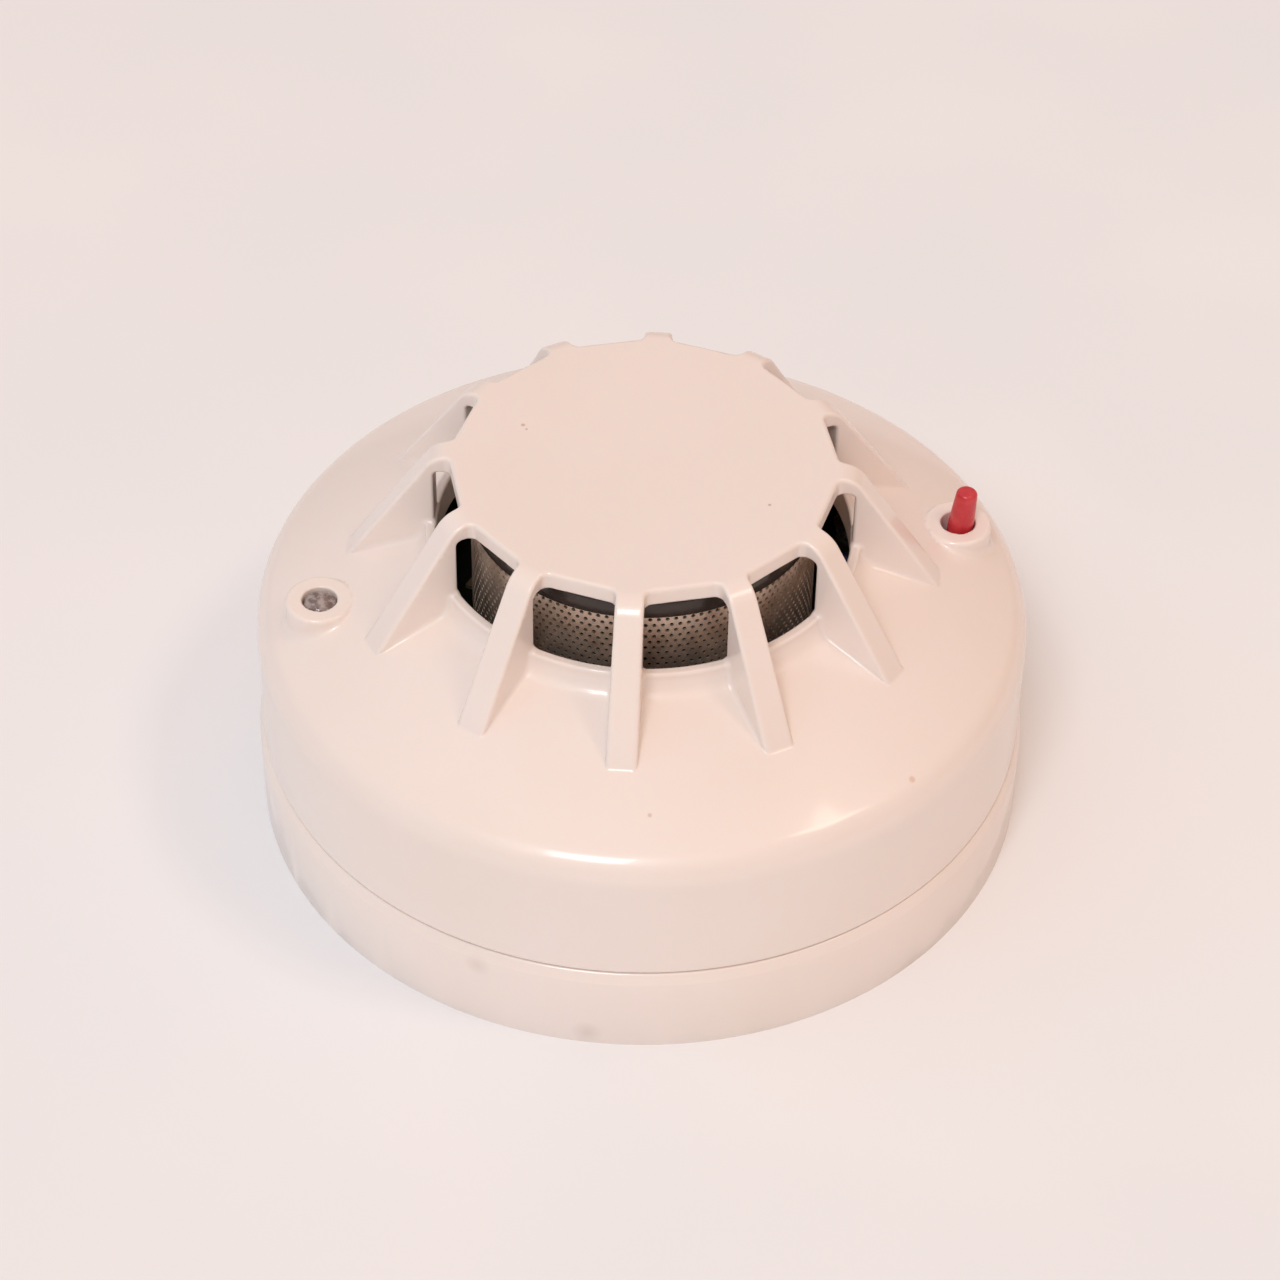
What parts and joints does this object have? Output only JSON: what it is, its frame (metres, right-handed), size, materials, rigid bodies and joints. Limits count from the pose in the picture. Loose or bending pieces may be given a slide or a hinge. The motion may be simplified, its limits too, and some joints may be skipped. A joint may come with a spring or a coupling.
{
  "type": "point fire detector",
  "caption": "Ceiling fire detector head with a finned vent, lamp and test button, twist-locked onto a round slotted mounting base.",
  "frame": {"origin": "centre of the base's flat mounting face", "axes": "+Z out of the ceiling through the vent disc, +X towards the test button, -X towards the status lamp"},
  "size_m": [0.102, 0.102, 0.0536],
  "materials": {
    "cover_plastic": "satin, warm white moulded ABS",
    "black_plastic": "matt black moulding",
    "gloss_black_plastic": "glossy black moulding",
    "red_plastic": "satin red moulding",
    "screen_metal": "etched, perforated thin steel",
    "plated_brass": "plated spring brass",
    "bright_steel": "zinc-plated steel",
    "can_aluminium": "drawn aluminium can",
    "board_laminate": "green solder resist",
    "clear_lens": "clear cast epoxy",
    "tinted_lens": "dark tinted epoxy",
    "bead_coating": "dipped epoxy bead",
    "sleeve_plastic": "shrunk sleeve",
    "ceramic": "fired ceramic chips"
  },
  "bodies": {
    "base": {"mounting_base": "cover_plastic", "terminal_contacts": "plated_brass", "terminal_screws": "bright_steel", "wire_clamps": "bright_steel"},
    "head": {"head_cover": "cover_plastic", "head_back": "cover_plastic", "contact_blades": "plated_brass", "blade_rivets": "plated_brass", "cover_screws": "bright_steel", "circuit_board": "board_laminate", "board_screws": "bright_steel", "chamber_base": "black_plastic", "chamber_cover": "gloss_black_plastic", "insect_screen": "screen_metal", "infrared_emitter": "tinted_lens", "photodiode": "tinted_lens", "photodiode_shield": "bright_steel", "sensing_thermistor": "bead_coating", "reference_thermistor": "bead_coating", "status_lamp": "clear_lens", "lamp_leads": "bright_steel", "lamp_spacer": "black_plastic", "test_switch": "black_plastic", "switch_cover": "bright_steel", "microcontroller": "black_plastic", "line_driver_chip": "black_plastic", "bridge_rectifier": "black_plastic", "capacitors": "can_aluminium", "capacitor_sleeves": "sleeve_plastic", "chip_components": "ceramic", "programming_header": "black_plastic", "header_pins": "plated_brass"},
    "button": {"test_button": "red_plastic", "switch_plunger": "black_plastic"}
  },
  "joints": [
    {"name": "head_twist", "type": "hinge", "parent": "base", "child": "head", "pos_m": [0, 0, 0.006], "axis": [0, 0, 1], "range_deg": [0, 18]},
    {"name": "test_button_press", "type": "slide", "parent": "head", "child": "button", "axis": [-0.0872, 0, -0.9962], "range_m": [0, 0.0012], "stiffness_N_per_m": 900, "springref_m": -0.0008}
  ]
}
